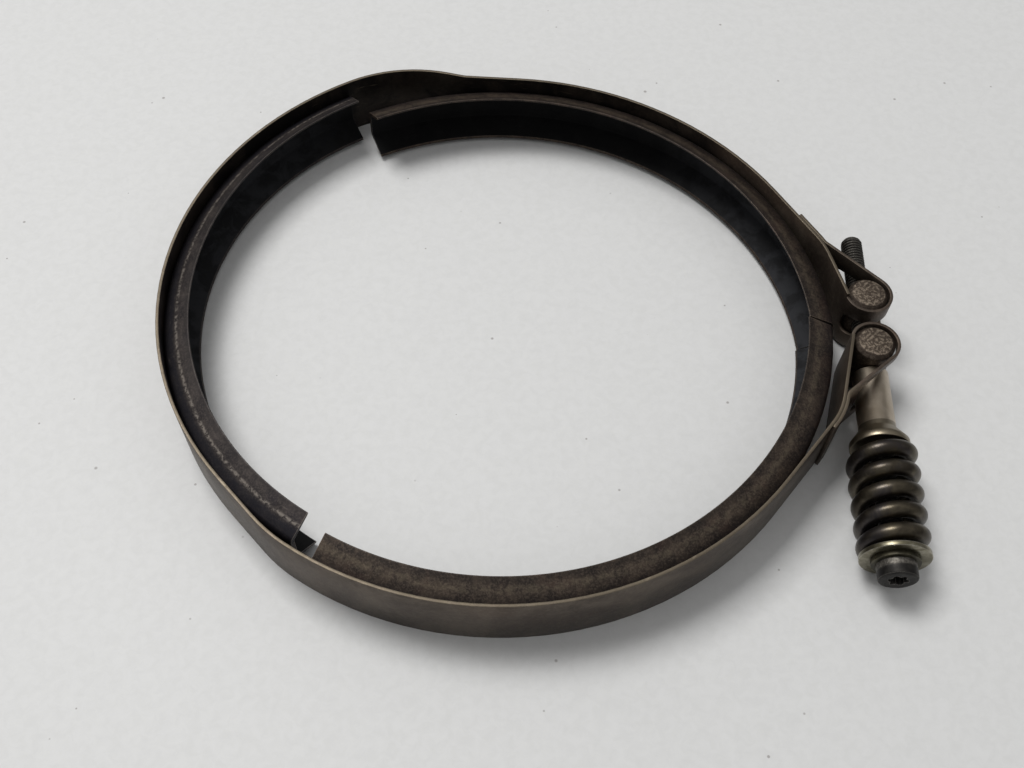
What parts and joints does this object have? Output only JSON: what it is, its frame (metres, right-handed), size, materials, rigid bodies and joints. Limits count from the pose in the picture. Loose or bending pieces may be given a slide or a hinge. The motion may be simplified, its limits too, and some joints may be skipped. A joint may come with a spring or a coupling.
{
  "type": "v band clamp",
  "caption": "V-band clamp: a steel strip ring lined with V-section retainers, drawn tight by a spring-loaded bolt through two trunnions.",
  "frame": {"origin": "the clamp's centre, on the joint plane half way up the band", "axes": "+Z along the clamp's axis; the bolt lies at +X, with its head towards -Y and its tip towards +Y"},
  "size_m": [0.268, 0.2384, 0.0254],
  "materials": {
    "band_steel": "heat-stained satin",
    "retainer_steel": "dark heat-stained",
    "trunnion_steel": "rough cold-formed",
    "spacer_steel": "satin",
    "spring_steel": "dark satin",
    "large_washer_steel": "satin",
    "small_washer_steel": "dull",
    "bolt_steel": "dark, corroded"
  },
  "bodies": {
    "clamp": {"band": "band_steel", "retainer_front": "retainer_steel", "retainer_left": "retainer_steel", "retainer_rear": "retainer_steel", "trunnion_threaded": "trunnion_steel", "trunnion_plain": "trunnion_steel", "spring_spacer": "spacer_steel", "spring": "spring_steel"},
    "washers": {"large_washer": "large_washer_steel", "small_washer": "small_washer_steel"},
    "bolt": {"bolt": "bolt_steel"}
  },
  "joints": [
    {"name": "bolt_feed", "type": "slide", "parent": "clamp", "child": "washers", "axis": [0.0366, 0.9993, 0], "range_m": [-0.005, 0.00625], "deforming": ["spring"]},
    {"name": "bolt_turn", "type": "hinge", "parent": "washers", "child": "bolt", "pos_m": [0.13103, -0.09654, 0], "axis": [0.0366, 0.9993, 0], "range_deg": [-1440, 1800]}
  ],
  "couplings": [
    {"joint": "bolt_turn", "follows": "bolt_feed", "rad_per_m": 5026.5}
  ]
}
